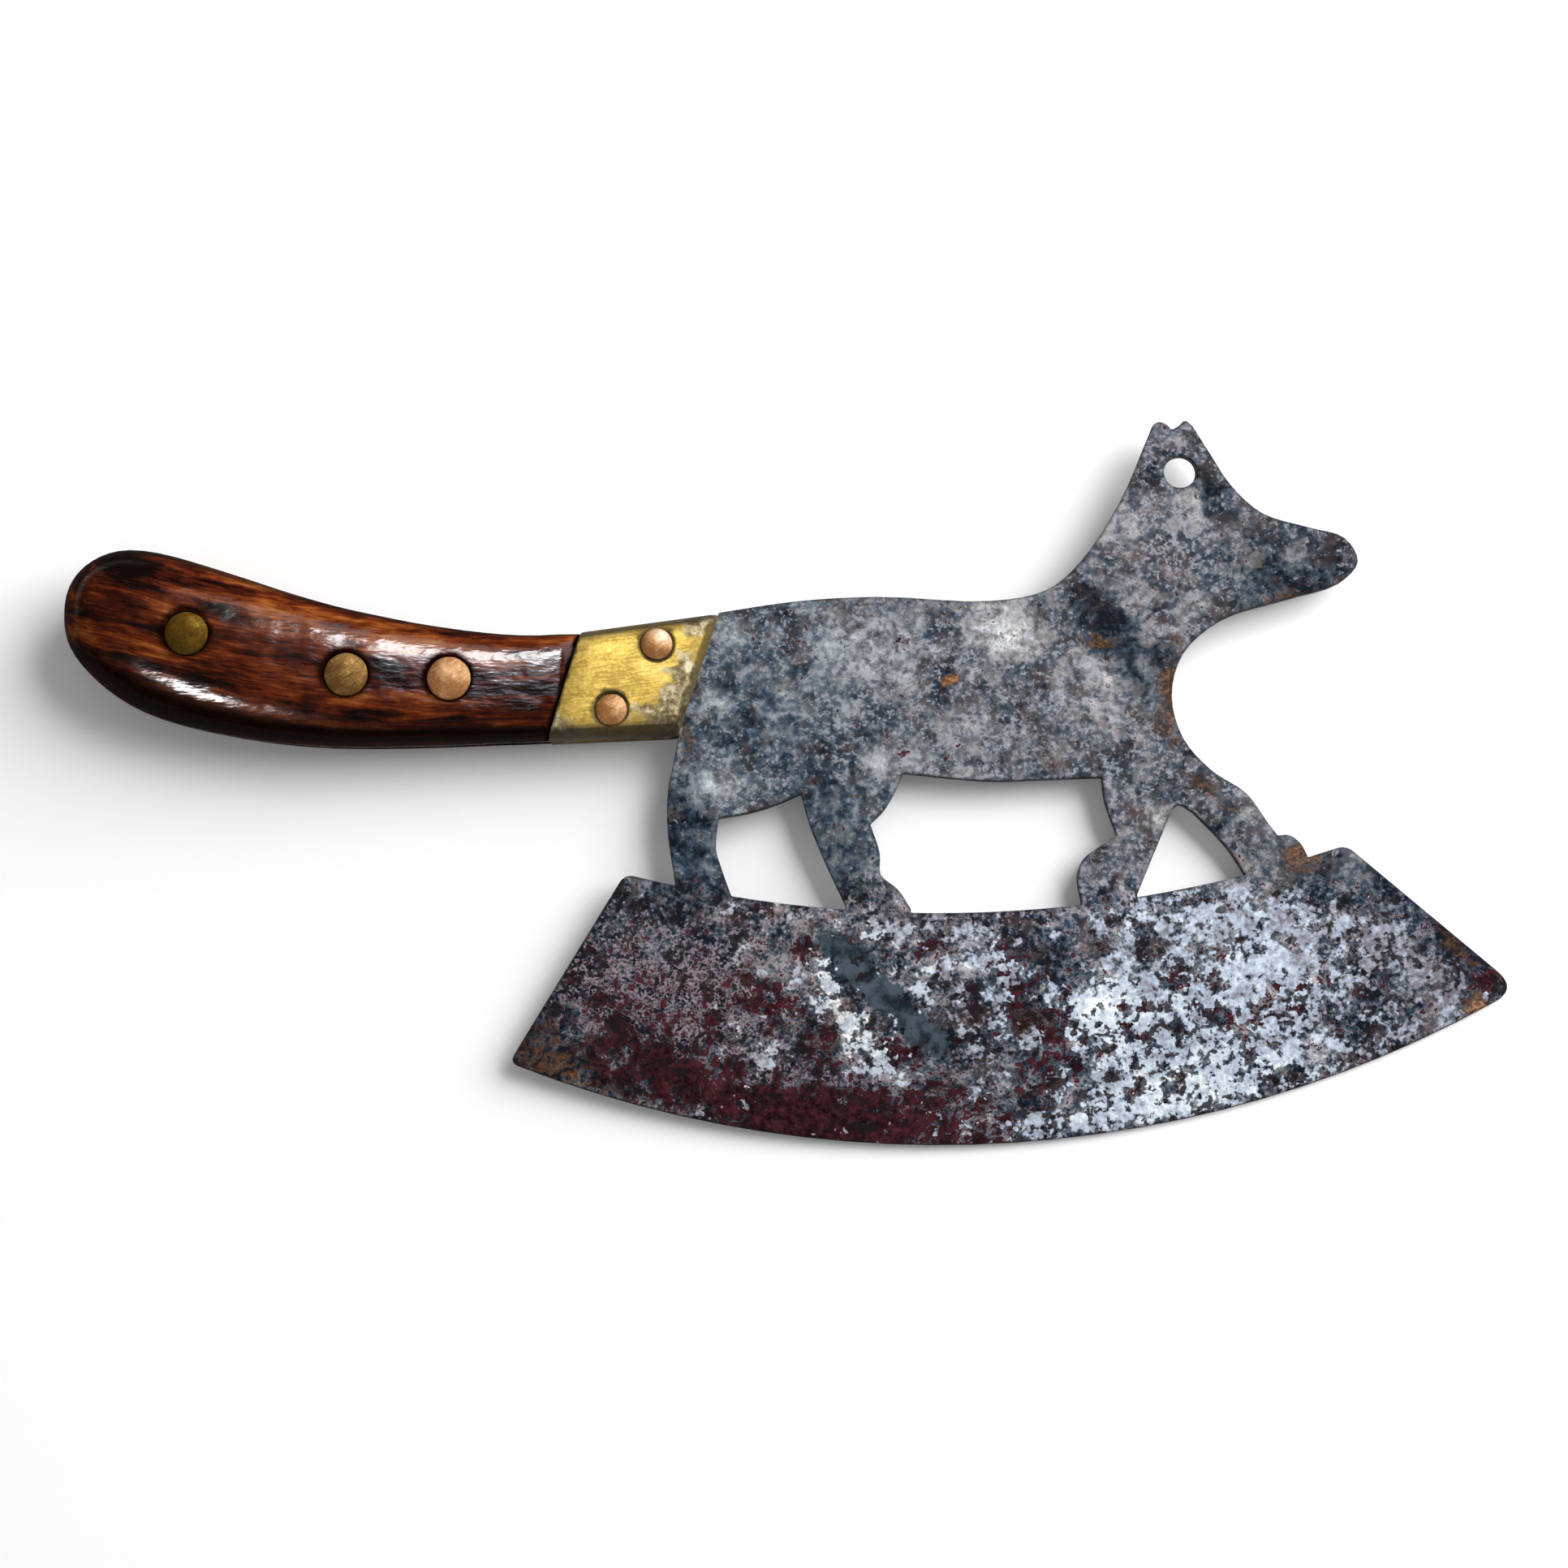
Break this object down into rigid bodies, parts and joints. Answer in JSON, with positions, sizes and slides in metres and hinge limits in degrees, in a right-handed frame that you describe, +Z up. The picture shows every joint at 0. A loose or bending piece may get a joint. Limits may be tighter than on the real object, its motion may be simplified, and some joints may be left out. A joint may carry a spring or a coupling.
{
  "type": "herb chopper",
  "caption": "Hand herb chopper: a fox cut from steel sheet stands on a crescent blade, with a riveted wooden tail for its handle and a brass bolster.",
  "frame": {"origin": "middle of the chopper's box, on the surface that it lies on", "axes": "+X from the handle's butt to the blade's toe, +Y from the cutting edge to the fox's ears, +Z up from the surface"},
  "size_m": [0.3088, 0.1562, 0.0206],
  "materials": {
    "steel": "old steel sheet, mottled blue-grey and white, with rust",
    "wood": "dark red-brown hardwood, varnished",
    "brass": "worn, with brown patina",
    "olive_brass": "dark olive patina",
    "copper": "worn copper"
  },
  "bodies": {
    "root": {"blade_plate": "steel", "front_scale": "wood", "rear_scale": "wood", "front_bolster": "brass", "rear_bolster": "brass", "butt_rivet": "olive_brass", "middle_rivet": "copper", "neck_rivet": "copper", "upper_bolster_rivet": "copper", "lower_bolster_rivet": "copper"}
  },
  "joints": []
}
